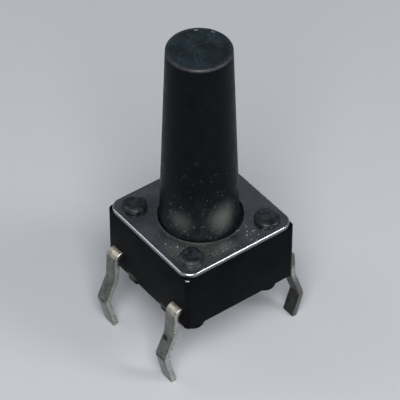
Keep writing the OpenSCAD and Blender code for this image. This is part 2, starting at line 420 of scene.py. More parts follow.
def moulded_nylon_button(colour):
    """Glass-filled nylon, injection moulded in a spark-eroded mould and pulled out along its length.

    The mould leaves a fine grain and the pull leaves faint upright drag lines. The colour is a deep black
    with a dull, broad shine. Painted light, standing for light bounced up from the cover, greys the stem's
    foot in patches and paints two soft highlights on it, and dust and hair scratches lie on its lower half."""
    material, tree, shader = new_material("moulded_nylon_button", colour, 0.0, 0.4, 0.045)
    grain = clouds(tree, 0.09, 4.0)  # real grain is 0.03 mm, drawn coarser so that it shows
    drag = clouds(tree, 0.07, 2.0, scale=(1, 1, 0.05))
    patches = clouds(tree, 0.55, 3.0, 0.6)
    dirt = lightest(
        tree,
        specks(tree, 0.17, 0.16),
        specks(tree, 0.11, 0.14, shift=(0.0021, 0.0013, 0.0007)),
        hairs(tree, (0.0011, 0.0023, 0.0005), 0.5, 0.1),
    )
    height = add(tree, "ShaderNodeSeparateXYZ", inputs={0: place(tree)}).outputs["Z"]
    low_down = add(
        tree, "ShaderNodeMapRange",
        inputs={"Value": height, "From Min": 0.0085, "From Max": 0.0045, "To Min": 0.05, "To Max": 1.0},
    ).outputs[0]
    low_dirt = add(tree, "ShaderNodeMath", PRODUCT, {0: dirt, 1: low_down}).outputs[0]
    # Painted light: the stem's foot is greyed in patches, standing for light bounced up from the cover
    foot = add(
        tree, "ShaderNodeMapRange", {"interpolation_type": "SMOOTHSTEP"},
        {"Value": height, "From Min": 0.0066, "From Max": 0.0042},
    ).outputs[0]
    uneven = add(tree, "ShaderNodeValToRGB", (), {"Fac": patches}, [(0.3, 0.25), (0.7, 1)]).outputs["Color"]
    painted_foot_light = add(tree, "ShaderNodeMath", PRODUCT, {0: foot, 1: uneven}).outputs[0]
    # Painted highlights: two soft light patches on the stem's foot, light reflected up from the cover
    left_painted_highlight = spot(tree, (-1.72, -0.74, 4.5), (0.85, 0.85, 0.85), 1.0, 0.3)
    right_painted_highlight = spot(tree, (-0.08, -1.8, 4.6), (1.0, 1.0, 1.15), 1.0, 0.3)
    weak = add(tree, "ShaderNodeMath", PRODUCT, {0: left_painted_highlight, 1: 0.46}).outputs[0]
    strong = add(tree, "ShaderNodeMath", PRODUCT, {0: right_painted_highlight, 1: 0.8}).outputs[0]
    painted_foot_highlight = add(tree, "ShaderNodeMath", SUM, {0: weak, 1: strong}).outputs[0]
    shade = two_tone(tree, patches, 0.35, 0.7, colour, "#0d0f13")
    shade = stained(tree, painted_foot_light, 0.5, shade, "#26292c")
    shade = add(tree, "ShaderNodeMix", COLOURS, {0: painted_foot_highlight, 6: shade, 7: "#5a5c58"}).outputs[2]
    shade = stained(tree, low_dirt, 0.32, shade, "#8b9096")
    dull = add(tree, "ShaderNodeValToRGB", (), {"Fac": patches}, [(0.3, 0), (0.75, 1)]).outputs["Color"]
    surface(tree, shader, shade, (dull, 0.34, 0.5), (drag, 0.004, 0.6), (grain, 0.005, 0.5))
    return material


def moulded_button_top():
    """The button's end face, moulded against a rougher insert and worn by fingertips.

    It looks greyer and blotchier than the sides, with patches that shine and patches that don't, hair
    scratches, and two small painted highlights, glints on the far edge."""
    material, tree, shader = new_material("moulded_button_top", "#1d2024", 0.0, 0.42, 0.25)
    blotch = clouds(tree, 0.6, 3.0, 0.6, scale=(1, 0.6, 1), turn=(0, 0, 0.6))
    grain = clouds(tree, 0.12)
    # Painted highlights: two small bright glints on the far edge of the top
    painted_rim_glints = lightest(
        tree,
        spot(tree, (0.6, 1.1, 13.05), (0.15, 0.08, 0.2), 0.6, 0.5),
        spot(tree, (1.12, 0.6, 13.05), (0.12, 0.15, 0.2), 0.6, 0.3),
    )
    shade = two_tone(tree, blotch, 0.38, 0.62, "#11171a", "#1e272d")
    shade = stained(tree, hairs(tree, (0.0013, 0.0004, 0), 1.3, 0.45), 0.3, shade, "#3f4a52")
    shade = stained(tree, hairs(tree, (0.0007, 0.0019, 0), 0.45, 0.12), 0.35, shade, "#565c63")
    shade = stained(tree, painted_rim_glints, 0.8, shade, "#7d848a")
    shiny = add(tree, "ShaderNodeValToRGB", (), {"Fac": blotch}, [(0.35, 0), (0.7, 1)]).outputs["Color"]
    surface(tree, shader, shade, (shiny, 0.5, 0.3), (blotch, 0.03, 0.5), (grain, 0.006, 0.5))
    return material


def rubbed_button_edge():
    """The rounded edge round the button's top, polished by fingers: smoother and greyer than the sides."""
    material, tree, shader = new_material("rubbed_button_edge", "#1a1d21", 0.0, 0.42, 0.42)
    grain = clouds(tree, 0.14)
    shade = two_tone(tree, grain, 0.35, 0.68, "#16191d", "#2d3136")
    surface(tree, shader, shade, (grain, 0.38, 0.5), (grain, 0.008, 0.5))
    return material


def moulded_pbt_base(colour):
    """PBT polyester, injection moulded in a polished mould.

    Deep black with a smooth satin shine, barely uneven where the walls have shrunk round the posts, with
    ragged grey flash at two of the pads, and a painted highlight, a glint at the top of one upright corner."""
    material, tree, shader = new_material("moulded_pbt_base", colour, 0.0, 0.3, 0.02)
    sink = clouds(tree, 1.4, 2.0)
    grain = clouds(tree, 0.1)
    flash = lightest(
        tree,
        spot(tree, (-3.0, 1.24, 0.32), (0.2, 0.42, 0.2), 0.4, 1.2),
        spot(tree, (-3.0, -1.1, 0.3), (0.2, 0.36, 0.16), 0.4, 1.2),
    )
    # Painted highlight: a bright glint at the top of the front upright corner
    corner = spot(tree, (-2.95, -2.95, 3.24), (0.13, 0.13, 0.05), 0.4, 0.4)
    shade = two_tone(tree, sink, 0.3, 0.75, colour, "#0f1114")
    shade = stained(tree, flash, 0.9, shade, "#4a5046")
    shade = add(tree, "ShaderNodeMix", COLOURS, {0: corner, 6: shade, 7: "#a9adb2"}).outputs[2]
    surface(tree, shader, shade, (grain, 0.26, 0.42), (sink, 0.02, 0.35), (grain, 0.003, 0.4))
    return material


def melted_pbt_head():
    """The same polyester after a hot punch has pressed it: lumpy, with glossy and dull patches."""
    material, tree, shader = new_material("melted_pbt_head", "#17181b", 0.0, 0.3, 0.35)
    lumps = clouds(tree, 0.3, 4.0, 0.6)
    fine = clouds(tree, 0.07)
    shade = two_tone(tree, lumps, 0.35, 0.68, "#121316", "#2b2e32")
    dull = add(tree, "ShaderNodeValToRGB", (), {"Fac": lumps}, [(0.35, 0), (0.7, 1)]).outputs["Color"]
    surface(tree, shader, shade, (dull, 0.22, 0.45), (lumps, 0.05, 0.5), (fine, 0.008, 0.5))
    return material


def rolled_stainless_sheet(colour):
    """Stainless steel sheet with a cold-rolled finish, tumbled after it was blanked.

    Rolling leaves fine streaks along X, and tumbling leaves short scratches and pits, so reflections are soft
    and a little cloudy. Dust sits on it in places. Painted shade darkens one corner, and painted reflections
    brighten the front corner and patches near the front edges."""
    material, tree, shader = new_material("rolled_stainless_sheet", colour, 1.0, 0.27)
    streaks = clouds(tree, 0.06, scale=(0.04, 1, 1))
    cloud = clouds(tree, 0.9, 4.0, 0.6)
    pits = specks(tree, 0.2, 0.1)
    rows = {"Fac": clouds(tree, 0.09, 1.0, scale=(0.08, 1, 1), turn=(0, 0, math.radians(37)))}
    scratches = add(tree, "ShaderNodeValToRGB", (), rows, [(0.72, 0), (0.75, 1)]).outputs["Color"]
    scratched = lightest(tree, scratches, hairs(tree, (0.001, 0.002, 0), 0.6, 0.06))
    dust = lightest(
        tree,
        specks(tree, 0.16, 0.3, shift=(0.0031, 0.0017, 0)),
        specks(tree, 0.11, 0.3, shift=(0.0013, 0.0041, 0)),
    )
    drift = lightest(
        tree,
        spot(tree, (0.7, -2.2, 3.5), (2.6, 1.2, 1), 0.9, 0.5),
        spot(tree, (-2.1, -1.2, 3.5), (1.1, 1.5, 1), 0.9, 0.5),
    )
    thick = add(tree, "ShaderNodeMapRange", inputs={"Value": drift, "To Min": 0.2, "To Max": 0.85}).outputs[0]
    dirt = add(tree, "ShaderNodeMath", PRODUCT, {0: dust, 1: thick}).outputs[0]
    shade = two_tone(tree, cloud, 0.3, 0.75, colour, "#a3a7ab")
    # Painted shade on the back-left corner, then painted reflections on the front corner and near the front
    # edges
    for x, y, reach, soft, share, painted_tone in (
        (-1.9, 1.5, (1.7, 1.6, 1), 0.9, 0.55, "#54585c"),
        (-1.75, -1.9, (1.55, 1.45, 1), 0.5, 0.85, "#c6c9c4"),
        (-2.3, -1.0, (0.75, 1.0, 1), 0.9, 0.8, "#f0f2ee"),
        (-0.35, -2.4, (0.75, 0.55, 1), 0.9, 0.7, "#eef0ea"),
    ):
        shade = stained(tree, spot(tree, (x, y, 3.5), reach, soft, 0.3), share, shade, painted_tone)
    shade = stained(tree, scratched, 0.5, shade, "#dfe2e4")
    shade = stained(tree, dirt, 0.8, shade, "#e6e8ea")
    covered = add(tree, "ShaderNodeMath", PRODUCT, {0: dirt, 1: 0.8}).outputs[0]
    bare = {"Value": covered, "To Min": 1.0, "To Max": 0.0}
    metallic = add(tree, "ShaderNodeMapRange", inputs=bare).outputs[0]
    slow = add(tree, "ShaderNodeMath", PRODUCT, {0: cloud, 1: 0.6}).outputs[0]
    quick = add(tree, "ShaderNodeMath", PRODUCT, {0: streaks, 1: 0.4}).outputs[0]
    uneven = add(tree, "ShaderNodeMath", SUM, {0: slow, 1: quick}).outputs[0]
    fill(tree, shader, {"Metallic": metallic})
    layers = (streaks, 0.002, 0.5), (pits, -0.006, 0.6), (scratched, -0.003, 0.5)
    surface(tree, shader, shade, (uneven, 0.2, 0.42), *layers)
    return material


def rolled_over_edge(colour):
    """The same sheet where the punch rolled it over: brighter and smoother than the face."""
    material, tree, shader = new_material("rolled_over_edge", colour, 1.0, 0.24)
    rub = clouds(tree, 0.5, 2.0)
    rough = add(tree, "ShaderNodeMapRange", inputs={"Value": rub, "To Min": 0.2, "To Max": 0.28}).outputs[0]
    fill(tree, shader, {"Roughness": rough})
    return material


def sheared_edge(colour):
    """The sheared wall of the same sheet: upright drag marks, duller than the face."""
    material, tree, shader = new_material("sheared_edge", colour, 1.0, 0.36)
    drag = clouds(tree, 0.05, 2.0, scale=(1, 1, 0.1))
    shade = add(tree, "ShaderNodeMix", COLOURS, {0: drag, 6: "#4d5156", 7: colour}).outputs[2]
    surface(tree, shader, shade, (drag, 0.28, 0.5), (drag, 0.004, 0.5))
    return material


def tin_plated_strip(colour):
    """Brass strip with a matt tin plate, stamped and bent after plating.

    The tin is a soft grey, a little warm, with a cloudy crystal pattern, and pale and crazed where it is bent
    down. Bending leaves broken creases across the knees and a pressed dent on one lead, both darkened with
    painted shade, and handling leaves nicks."""
    material, tree, shader = new_material("tin_plated_strip", colour, 1.0, 0.34)
    crystals = {"Vector": place(tree), "Scale": per_mm(0.14)}
    crystal = add(tree, "ShaderNodeTexVoronoi", {"feature": "F1"}, crystals).outputs["Color"]
    cloud = clouds(tree, 0.3, 4.0, 0.62)
    nicks = specks(tree, 0.17, 0.16, scale=(1, 1, 0.6))
    # Painted shade in a pressed dent near the kink of one lead
    pressed = spot(tree, (-3.5, -2.13, -0.5), (0.6, 0.2, 0.14))
    marks = ({"attribute_type": "GEOMETRY", "attribute_name": name} for name in ("crease", "burnish"))
    line, bent = (add(tree, "ShaderNodeAttribute", mark).outputs["Fac"] for mark in marks)
    breaks = {"Fac": clouds(tree, 0.3, 2.0, shift=(0.002, 0.001, 0))}
    broken = add(tree, "ShaderNodeValToRGB", (), breaks, [(0.42, 0), (0.5, 1)]).outputs["Color"]
    crease_shade_and_dent = add(tree, "ShaderNodeMath", PRODUCT, {0: line, 1: broken}).outputs[0]
    pale = add(tree, "ShaderNodeValToRGB", (), {"Fac": cloud}, [(0.36, 0.25), (0.6, 1)]).outputs["Color"]
    crazing = specks(tree, 0.1, 0.4, shift=(0.001, 0.003, 0))
    crazed = add(tree, "ShaderNodeMath", PRODUCT, {0: bent, 1: crazing}).outputs[0]
    shade = two_tone(tree, cloud, 0.34, 0.68, "#565959", colour)
    shade = stained(tree, crystal, 0.25, shade, "#b5b3ab")
    shade = stained(tree, bent, pale, shade, "#d6cfc1")
    shade = stained(tree, crazed, 0.75, shade, "#5d5048")
    shade = stained(tree, nicks, 0.7, shade, "#3d3c3a")
    # Painted shade: darkens the knee creases and the pressed dent
    shade = stained(tree, lightest(tree, pressed, crease_shade_and_dent), 0.85, shade, "#1d1e20")
    even = add(tree, "ShaderNodeMapRange", inputs={"Value": cloud, "To Min": 0.22, "To Max": 0.42}).outputs[0]
    worked = add(tree, "ShaderNodeMath", PRODUCT, {0: bent, 1: 0.12}).outputs[0]
    rough = add(tree, "ShaderNodeMath", SUM, {0: even, 1: worked}).outputs[0]
    dents = lightest(tree, nicks, crease_shade_and_dent)
    normal = relief(tree, (crystal, 0.004, 0.5), (cloud, 0.014, 0.5), (dents, -0.02, 0.7))
    fill(tree, shader, {"Base Color": shade, "Roughness": rough, "Normal": normal})
    return material


def sheared_strip_edge(colour):
    """The strip's cut edge: bare, paler metal with drag marks through its thickness and small torn pits.

    Painted shade darkens one lead's edge, above and below the bend where it leaves the base."""
    material, tree, shader = new_material("sheared_strip_edge", colour, 1.0, 0.3)
    drag = clouds(tree, 0.06, 2.0, scale=(1, 0.2, 1))
    torn = specks(tree, 0.16, 0.35)
    # Painted shade: darkens the cut edge of the right front lead
    painted_edge_shade = lightest(
        tree,
        spot(tree, (3.7, -2.6, -2.0), (1.2, 1.0, 1.75), 0.3, 0.3),
        spot(tree, (3.3, -2.6, 0.9), (0.6, 1.0, 0.75), 0.3, 0.3),
    )
    shade = two_tone(tree, drag, 0.35, 0.65, "#8d8a83", colour)
    shade = stained(tree, painted_edge_shade, 0.75, shade, "#5b5955")
    shade = stained(tree, torn, 0.8, shade, "#47433f")
    surface(tree, shader, shade, (drag, 0.22, 0.42), (drag, 0.006, 0.5), (torn, -0.015, 0.6))
    return material


def painted_shade_strip_back():
    """The strip's side that faces the base: dull, darkened with painted shade, with brown patches and a
    reddish spot.
    """
    material, tree, shader = new_material("painted_shade_strip_back", "#2b2c2b", 1.0, 0.45)
    cloud = clouds(tree, 0.3, 4.0, 0.62)
    brown_patches = {"Fac": clouds(tree, 0.7, 2.0, shift=(0.003, 0.001, 0))}
    brown = add(tree, "ShaderNodeValToRGB", (), brown_patches, [(0.56, 0), (0.68, 0.5)]).outputs["Color"]
    # Painted shade: the dark colour stands for the shade and dark reflection under the base
    shade = two_tone(tree, cloud, 0.34, 0.68, "#303332", "#5c605e")
    shade = add(tree, "ShaderNodeMix", COLOURS, {0: brown, 6: shade, 7: "#4a3a36"}).outputs[2]
    shade = stained(tree, spot(tree, (3.7, -2.2, -2.15), (0.5, 0.2, 0.22), 0.6, 0.6), 0.7, shade, "#64494a")
    surface(tree, shader, shade, (cloud, 0.36, 0.58), (cloud, 0.014, 0.5))
    return material


def sprung_steel_dome():
    """Thin spring stainless sheet, drawn to a dome: bright, with fine streaks from the rolling."""
    material, tree, shader = new_material("sprung_steel_dome", "#b9bcc0", 1.0, 0.22)
    streaks = clouds(tree, 0.05, scale=(0.05, 1, 1))
    surface(tree, shader, "#b9bcc0", (streaks, 0.15, 0.35), (streaks, 0.002, 0.5))
    return material


def matt_paper_floor(colour):
    """Matt paper under the switch, with a faint fibre."""
    material, tree, shader = new_material("matt_paper_floor", colour, 0.0, 0.85, 0.2)
    shade = stained(tree, clouds(tree, 0.5), 0.12, colour, "#a9acb0")
    fill(tree, shader, {"Base Color": shade})
    return material


# ---------------------------------------------------------------------------
# Pieces
# ---------------------------------------------------------------------------

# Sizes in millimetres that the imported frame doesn't give
WELL_RADIUS = 2.22
WELL_FLOOR = 1.85
POCKET_RADIUS = 2.05
POCKET_FLOOR = 1.4
EAR_SLOT_REACH = 2.6
EAR_SLOT_WIDTH = 1.3
CUT_OVER = 1.0  # how far the cutting shapes stand over the base
FOOT_INSET = 0.04
FOOT_EDGE = 0.05
FOOT_SINK = 0.1  # how far feet and pads run up into the base
PAD_Y = 1.22
PAD_WIDTH = 0.6
PAD_DEPTH = 0.4

HEAD_SINK = 0.1
HEAD_ROLL = 0.12
HEAD_SHOULDER = 0.13
HEAD_DISH = ((0.5, 0.9), (0.28, 0.84), (0, 0.86))  # shares of the radius and the height
HEAD_EDGE_LIMIT = 0.12  # longer edges are split, so that the unevenness has enough points

COVER_POINTS = 256
COVER_RINGS = 12
ROLL_STEPS = 5
COVER_CHAMFER = 0.02
HOLE_BURR = ((0.0, -0.04), (0.01, -0.005), (0.028, 0.008), (0.045, 0.009), (0.058, 0.004))  # inset and rise

NUB_RADIUS = 0.55
NUB_HEIGHT = 0.5
HUB_RADIUS = 1.45
HUB_EDGE = 0.05
FLANGE_RADIUS = 2.12
FLANGE_THICKNESS = 0.6
FLANGE_GAP = 0.02
FLANGE_EDGE = 0.04
LAND_RISE = 0.35
EAR_ROOT = 1.9
EAR_TIP = 2.5
EAR_WIDTH = 1.1
RIM_WIDTH = 0.05

CONTACT_RISE = 0.17
CONTACT_SINK = 0.05
CENTRE_CONTACT = (0.51, 0.45)  # radius at the strip and at the top
RIM_CONTACT = (0.31, 0.27)
RIM_CONTACT_Y = 0.79
CENTRE_ARM_HALF = 0.4
RIM_ARM_X = 1.62
RIM_ARM_HALF = 0.25
RIM_ARM_END = 1.04

DOME_THICKNESS = 0.07


def soft_block(bm, low, high, soft, segments=2):
    """Adds a block with bevelled edges between two corners; returns its vertices."""
    made = bmesh.ops.create_cube(bm, size=1)["verts"]
    for vert in made:
        vert.co = Vector([(a + b) / 2 + c * (b - a) for a, b, c in zip(low, high, vert.co)])
    edges = list(dict.fromkeys(edge for vert in made for edge in vert.link_edges))
    done = bmesh.ops.bevel(bm, geom=edges, offset=soft, segments=segments, affect="EDGES", profile=0.5)
    return done["verts"]


class SWITCH_OT_base(bpy.types.Operator):
    """Builds the moulded base with its well, feet and pads"""

    bl_idname = "switch.base"
    bl_label = "Base"

    def execute(self, context):
        sizes = context.scene.switch_base
        side = BASE_HIGH.x
        top = COVER_LOW.z
        body = bmesh.new()
        prism(body, square_outline(2 * side, sizes.corner), sizes.wall_foot, top)
        block = temporary("base_block", body)
        half = EAR_SLOT_WIDTH / 2
        cutters = []
        for outline, floor in (
            (round_outline(WELL_RADIUS, 64), WELL_FLOOR),
            (box_outline(-EAR_SLOT_REACH, -half, EAR_SLOT_REACH, half), WELL_FLOOR),
            (box_outline(-half, -EAR_SLOT_REACH, half, EAR_SLOT_REACH), WELL_FLOOR),
            (round_outline(POCKET_RADIUS, 64), POCKET_FLOOR),
        ):
            shape = bmesh.new()
            prism(shape, outline, floor, top + CUT_OVER)
            cutters.append(temporary("base_cut", shape))
            cut = block.modifiers.new("cut", "BOOLEAN")
            cut.operation = "DIFFERENCE"
            cut.solver = "EXACT"
            cut.object = cutters[-1]
        soft = block.modifiers.new("soft edges", "BEVEL")
        soft.width = sizes.soft
        soft.segments = 3
        soft.limit_method = "ANGLE"
        soft.angle_limit = math.radians(40)
        mesh = evaluated_copy(block, "moulded_base")
        for cutter in cutters:
            bpy.data.objects.remove(cutter)
        whole = bmesh.new()
        whole.from_mesh(mesh)
        bpy.data.meshes.remove(mesh)
        self.add_feet(whole, sizes, side)
        plastic = moulded_pbt_base(sizes.colour)
        finish_mesh("moulded_base", whole, [plastic], "housing", "base")
        return {"FINISHED"}

    def add_feet(self, bm, sizes, side):
        """Round feet with soft edges, and a small pad on each side of the middle of the lead sides."""
        radius = sizes.foot
        high = sizes.wall_foot + FOOT_SINK
        profile = [(0, 0), (radius - FOOT_EDGE, 0)]
        profile += arc((radius - FOOT_EDGE, FOOT_EDGE), FOOT_EDGE, -90, 0, 4)[1:]
        profile += [(radius, high), (0, high)]
        half = Vector((PAD_DEPTH / 2, PAD_WIDTH / 2, high / 2))
        for turn in (1, -1):
            for x in (-sizes.outer_foot_x, sizes.inner_foot_x):
                lathe(bm, profile, 40, turn * x, turn * (FOOT_INSET + radius - side))
            for y in (-PAD_Y, PAD_Y):
                middle = Vector((turn * (side - FOOT_INSET - PAD_DEPTH / 2), y, high / 2))
                soft_block(bm, middle - half, middle + half, FOOT_EDGE, 3)


def new_geometry_tree(name, sizes):
    """A Geometry Nodes tree with named inputs; sizes gives the kind of each. Returns it and its inputs."""
    tree = bpy.data.node_groups.new(name, "GeometryNodeTree")
    tree.is_modifier = True
    for socket, kind in {"Geometry": "Geometry", **sizes, "Material": "Material"}.items():
        tree.interface.new_socket(socket, in_out="INPUT", socket_type="NodeSocket" + kind)
    tree.interface.new_socket("Geometry", in_out="OUTPUT", socket_type="NodeSocketGeometry")
    return tree, add(tree, "NodeGroupInput").outputs


def end_tree(tree, solid, material):
    """Gives the tree's solid shape its material and sends it out."""
    coloured = add(tree, "GeometryNodeSetMaterial", inputs={"Geometry": solid, "Material": material})
    add(tree, "NodeGroupOutput", inputs={"Geometry": coloured.outputs[0]})
    return tree


def staked_head_tree():
    """Puts a head on each post, turns each its own way and makes the melted plastic uneven."""
    sizes = {"Spacing": "Float", "Height": "Float", "Unevenness": "Float", "Seed": "Int"}
    tree, given = new_geometry_tree("staked_heads", sizes)
    grid = add(
        tree, "GeometryNodeMeshGrid",
        inputs={"Size X": given["Spacing"], "Size Y": given["Spacing"], "Vertices X": 2, "Vertices Y": 2},
    ).outputs["Mesh"]
    turn = add(
        tree, "FunctionNodeRandomValue", {"data_type": "FLOAT_VECTOR"},
        {"Min": (-0.05, -0.05, 0), "Max": (0.05, 0.05, 6.28), "Seed": given["Seed"]},
    ).outputs["Value"]
    size = add(
        tree, "FunctionNodeRandomValue", {"data_type": "FLOAT_VECTOR"},
        {"Min": (0.97, 0.95, 0.92), "Max": (1.0, 1.0, 1.0), "Seed": given["Seed"]},
    ).outputs["Value"]
    heads = add(
        tree, "GeometryNodeInstanceOnPoints",
        inputs={"Points": grid, "Instance": given["Geometry"], "Rotation": turn, "Scale": size},
    ).outputs["Instances"]
    lift = add(tree, "ShaderNodeCombineXYZ", inputs={"Z": given["Height"]}).outputs[0]
    placed = add(
        tree, "GeometryNodeTranslateInstances",
        inputs={"Instances": heads, "Translation": lift, "Local Space": False},
    ).outputs[0]
    solid = add(tree, "GeometryNodeRealizeInstances", inputs={"Geometry": placed}).outputs[0]
    lumps = {"W": given["Seed"], "Scale": 2.6, "Detail": 2.0}
    noise = add(tree, "ShaderNodeTexNoise", {"noise_dimensions": "4D"}, lumps).outputs["Color"]
    centring = {0: noise, 1: (0.5, 0.5, 0.5)}
    centred = add(tree, "ShaderNodeVectorMath", {"operation": "SUBTRACT"}, centring).outputs[0]
    scaling = {0: centred, "Scale": given["Unevenness"]}
    wander = add(tree, "ShaderNodeVectorMath", {"operation": "SCALE"}, scaling).outputs[0]
    moved = add(tree, "GeometryNodeSetPosition", inputs={"Geometry": solid, "Offset": wander}).outputs[0]
    return end_tree(tree, moved, given["Material"])


def run_tree(source, tree, values, name):
    """Runs a Geometry Nodes tree on an object with its named inputs, and returns the plain mesh."""
    modifier = source.modifiers.new(tree.name, "NODES")
    modifier.node_group = tree
    for item in tree.interface.items_tree:
        if item.item_type == "SOCKET" and item.in_out == "INPUT" and item.name in values:
            modifier[item.identifier] = values[item.name]
    return evaluated_copy(source, name)


class SWITCH_OT_heads(bpy.types.Operator):
    """Builds the four staked heads on the cover"""

    bl_idname = "switch.heads"
    bl_label = "Staked heads"

    def execute(self, context):
        sizes = context.scene.switch_heads
        radius = sizes.radius
        height = BASE_HIGH.z - COVER_HIGH.z
        head = bmesh.new()
        profile = [(0, -HEAD_SINK), (radius * 0.6, -HEAD_SINK), (radius * 0.97, -0.02)]
        profile += arc((radius - HEAD_ROLL, 0.11), HEAD_ROLL, -30, 52, 5)
        profile += arc((radius * 0.68, height - HEAD_SHOULDER), HEAD_SHOULDER, 58, 100, 4)
        profile += [(radius * out, height * up) for out, up in HEAD_DISH]
        lathe(head, profile, 40)
        long_edges = [edge for edge in head.edges if edge.calc_length() > HEAD_EDGE_LIMIT]
        bmesh.ops.subdivide_edges(head, edges=long_edges, cuts=1, use_grid_fill=True)
        bmesh.ops.recalc_face_normals(head, faces=head.faces)
        source = temporary("head_pattern", head)
        values = {
            "Spacing": sizes.pitch,
            "Height": COVER_HIGH.z,
            "Unevenness": sizes.uneven * 4,
            "Seed": sizes.seed,
            "Material": melted_pbt_head(),
        }
        mesh = run_tree(source, staked_head_tree(), values, "staked_heads")
        finish_object("staked_heads", mesh, [], "housing", None, 60)
        return {"FINISHED"}


def rim_points(count, width, radius):
    """Points of a round-cornered square at even turns about its middle, as unit directions and distances."""
    inner = width / 2 - radius
    found = []
    for i in range(count):
        turn = 2 * math.pi * i / count
        c, s = abs(math.cos(turn)), abs(math.sin(turn))
        reach = width / 2 / max(c, s)
        if min(c, s) * reach > inner:
            along = inner * (c + s)
            reach = along + math.sqrt(along * along - 2 * inner * inner + radius * radius)
        found.append((Vector((math.cos(turn), math.sin(turn))), reach))
    return found


class SWITCH_OT_cover(bpy.types.Operator):
    """Builds the sheet metal cover with rolled-over edges"""

    bl_idname = "switch.cover"
    bl_label = "Cover"

    def execute(self, context):
        sizes = context.scene.switch_cover
        rim = rim_points(COVER_POINTS, 2 * COVER_HIGH.x, sizes.corner)
        low, high, soft = COVER_LOW.z, COVER_HIGH.z, sizes.rollover
        bm = bmesh.new()
        rows = []

        def add_row(distance_at, z, wave=0.0):
            """Adds a ring; distance_at turns the outer edge's distance from the middle into the ring's."""
            ring = []
            for direction, reach in rim:
                x, y = direction * distance_at(reach)
                sag = wave * math.sin(1.1 * x + 0.7) * math.cos(0.9 * y - 0.4)
                ring.append(bm.verts.new((x, y, z + sag)))
            rows.append(ring)

        add_row(lambda reach: sizes.hole, low)
        for inset, rise in HOLE_BURR + ((soft, 0.0),):
            add_row(lambda reach: sizes.hole + inset, high + rise)
        for i in range(1, COVER_RINGS):
            part = i / COVER_RINGS
            add_row(lambda reach: (sizes.hole + soft) * (1 - part) + (reach - soft) * part, high, sizes.wave)
        face_stop = len(rows)
        for i in range(ROLL_STEPS, -1, -1):
            turn = math.radians(90 * i / ROLL_STEPS)
            inset = soft * (1 - math.cos(turn))
            add_row(lambda reach: reach - inset, high - soft + soft * math.sin(turn))
        add_row(lambda reach: reach, low + COVER_CHAMFER)
        add_row(lambda reach: reach - COVER_CHAMFER, low)
        rows.append(rows[0])
        for i, (a, b) in enumerate(zip(rows, rows[1:])):
            flat = 0 < i < face_stop or i == len(rows) - 2
            material = 1 if face_stop <= i < face_stop + ROLL_STEPS else 0 if flat else 2
            for k in range(COVER_POINTS):
                n = (k + 1) % COVER_POINTS
                bm.faces.new((a[k], a[n], b[n], b[k])).material_index = material
        sheet = rolled_stainless_sheet(sizes.colour)
        materials = [sheet, rolled_over_edge(sizes.edge_colour), sheared_edge(sizes.colour)]
        finish_mesh("sheet_cover", bm, materials, "housing", "cover_plate")
        return {"FINISHED"}


class SWITCH_OT_button(bpy.types.Operator):
    """Builds the tapered button with its flange, ears, hub and nub"""

    bl_idname = "switch.button"
    bl_label = "Button"

    def execute(self, context):
        sizes = context.scene.switch_button
        bottom, top = BUTTON_LOW.z, BUTTON_HIGH.z
        hub_low = bottom + NUB_HEIGHT
        flange_top = COVER_LOW.z - FLANGE_GAP
        flange_low = flange_top - FLANGE_THICKNESS
        land_top = COVER_HIGH.z + LAND_RISE
        face_radius, face_z = sizes.top - sizes.soft - RIM_WIDTH, top - sizes.rim
        flange_inner = FLANGE_RADIUS - FLANGE_EDGE
        profile = [(0, bottom), (NUB_RADIUS - HUB_EDGE, bottom), (NUB_RADIUS, bottom + HUB_EDGE)]
        profile += [(NUB_RADIUS, hub_low), (HUB_RADIUS - HUB_EDGE, hub_low), (HUB_RADIUS, hub_low + HUB_EDGE)]
        profile += [(HUB_RADIUS, flange_low), (flange_inner, flange_low)]
        profile += [(FLANGE_RADIUS, flange_low + FLANGE_EDGE), (FLANGE_RADIUS, flange_top - FLANGE_EDGE)]
        profile += [(flange_inner, flange_top), (sizes.land, flange_top), (sizes.land, land_top)]
        foot, shoulder = Vector((sizes.land, land_top)), Vector((sizes.top, top - sizes.soft))
        profile += [tuple(foot.lerp(shoulder, i / 24)) for i in range(1, 25)]
        edge_start = len(profile) - 1
        profile += arc((sizes.top - sizes.soft, top - sizes.soft), sizes.soft, 0, 90, 7)[1:]
        top_start = len(profile) - 1
        profile += [(face_radius * (1 - i / 8), face_z) for i in range(8)] + [(0, face_z)]
        bm = bmesh.new()
        lathe(bm, profile, 144, BUTTON_X, 0.0, lambda i: 1 if i > top_start else 2 if i >= edge_start else 0)
        for turn in range(4):
            half = EAR_WIDTH / 2
            ear = soft_block(bm, (EAR_ROOT, -half, flange_low), (EAR_TIP, half, flange_top), FLANGE_EDGE)
            about = Matrix.Rotation(math.radians(90 * turn), 3, "Z")
            bmesh.ops.rotate(bm, verts=ear, cent=(0, 0, 0), matrix=about)
            bmesh.ops.translate(bm, verts=ear, vec=(BUTTON_X, 0, 0))
        materials = [moulded_nylon_button(sizes.colour), moulded_button_top(), rubbed_button_edge()]
        finish_mesh("moulded_button", bm, materials, "button", "button")
        return {"FINISHED"}


